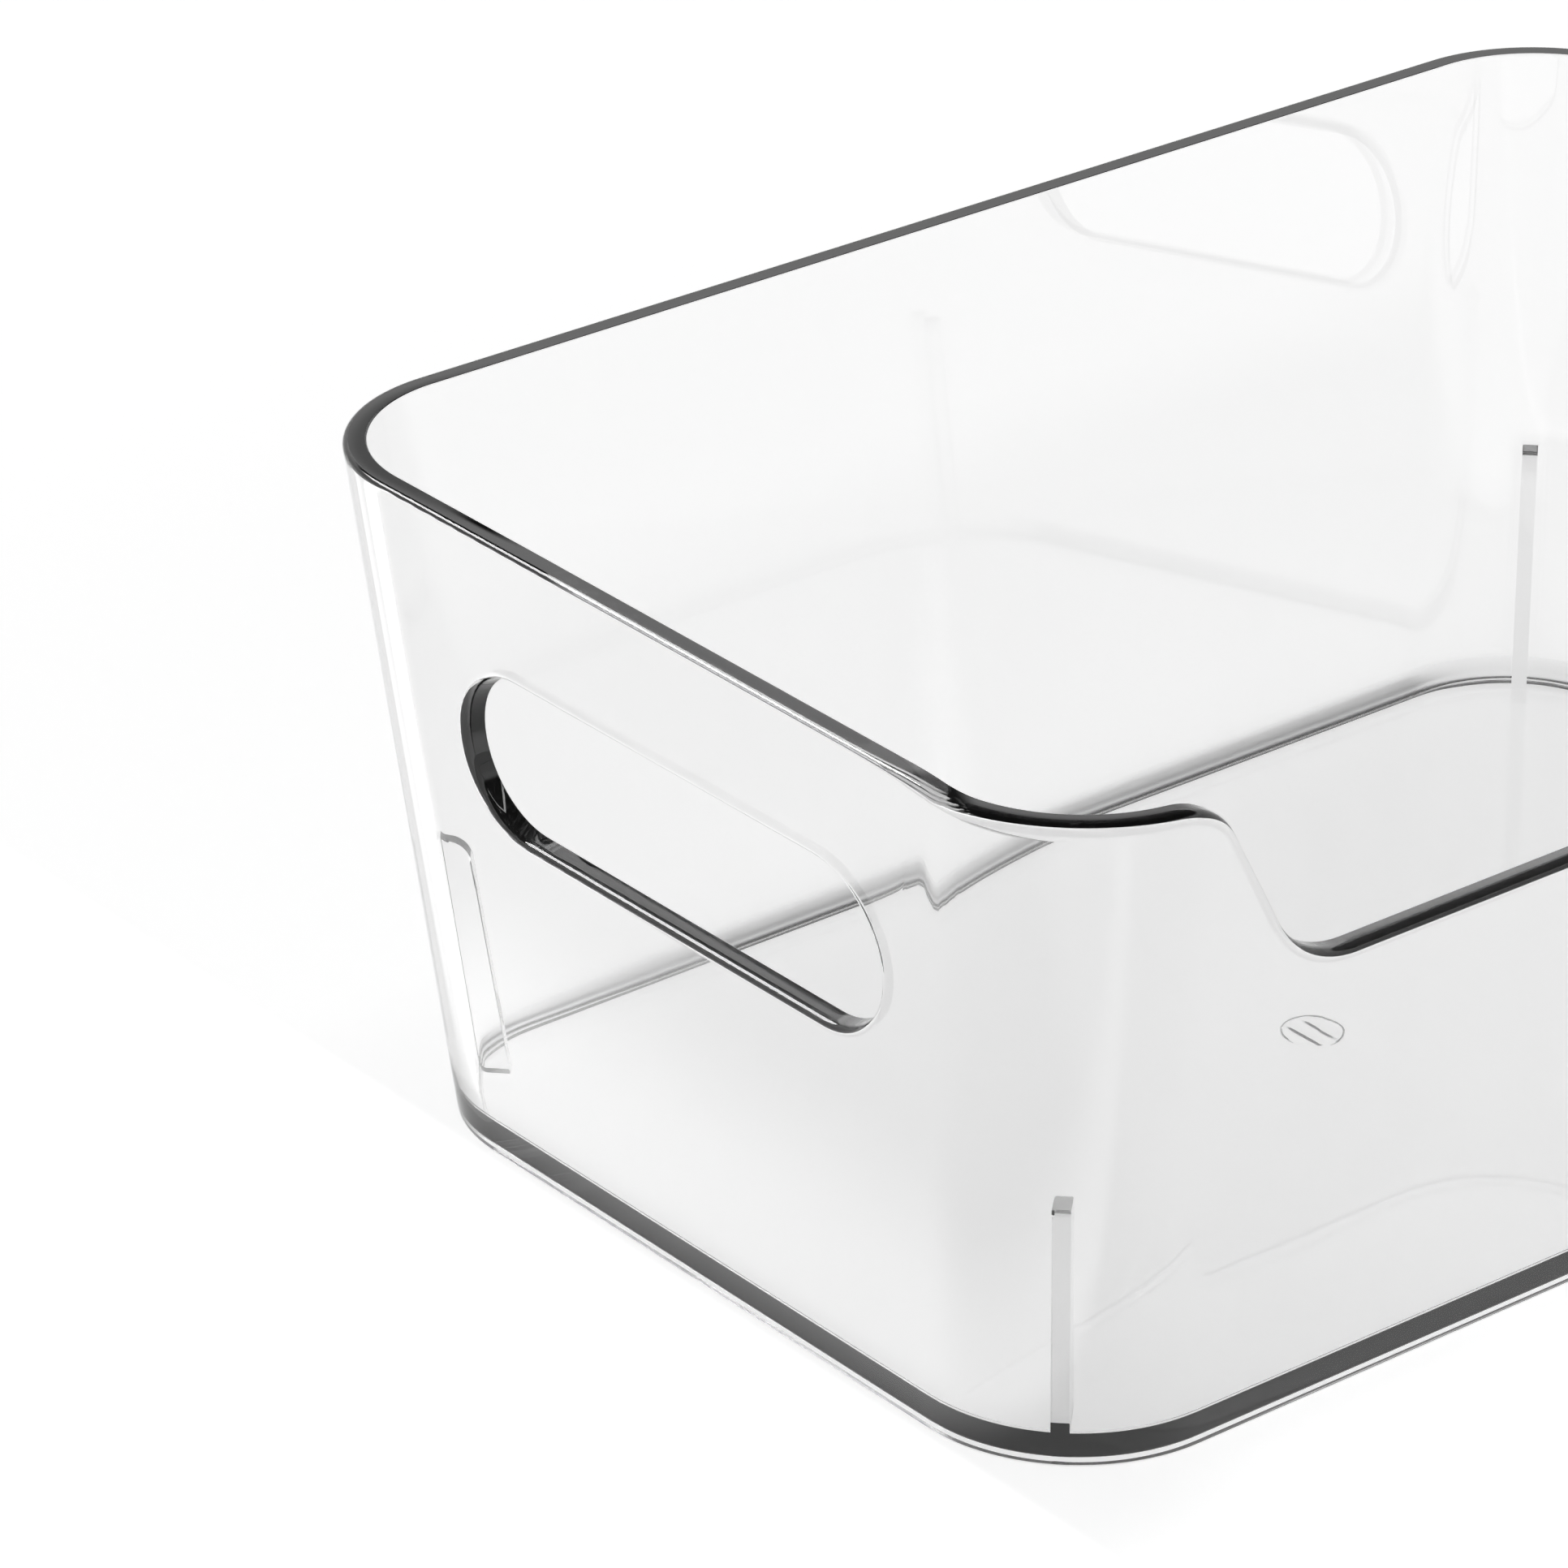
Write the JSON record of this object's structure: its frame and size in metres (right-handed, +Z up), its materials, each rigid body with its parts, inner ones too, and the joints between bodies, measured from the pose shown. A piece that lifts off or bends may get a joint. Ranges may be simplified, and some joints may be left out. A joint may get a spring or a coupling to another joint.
{
  "type": "fridge bin",
  "caption": "Clear open-top storage bin with a lowered front wall, a handle slot in each end and corner fins that stop nested bins jamming.",
  "frame": {"origin": "middle of the footprint, on the plane the bin stands on", "axes": "+X along the long side, +Y from the lowered front wall to the back wall, +Z up"},
  "size_m": [0.236, 0.1618, 0.1],
  "materials": {
    "clear_plastic": "polished, colourless, transparent"
  },
  "bodies": {
    "root": {"bin": "clear_plastic"}
  },
  "joints": []
}
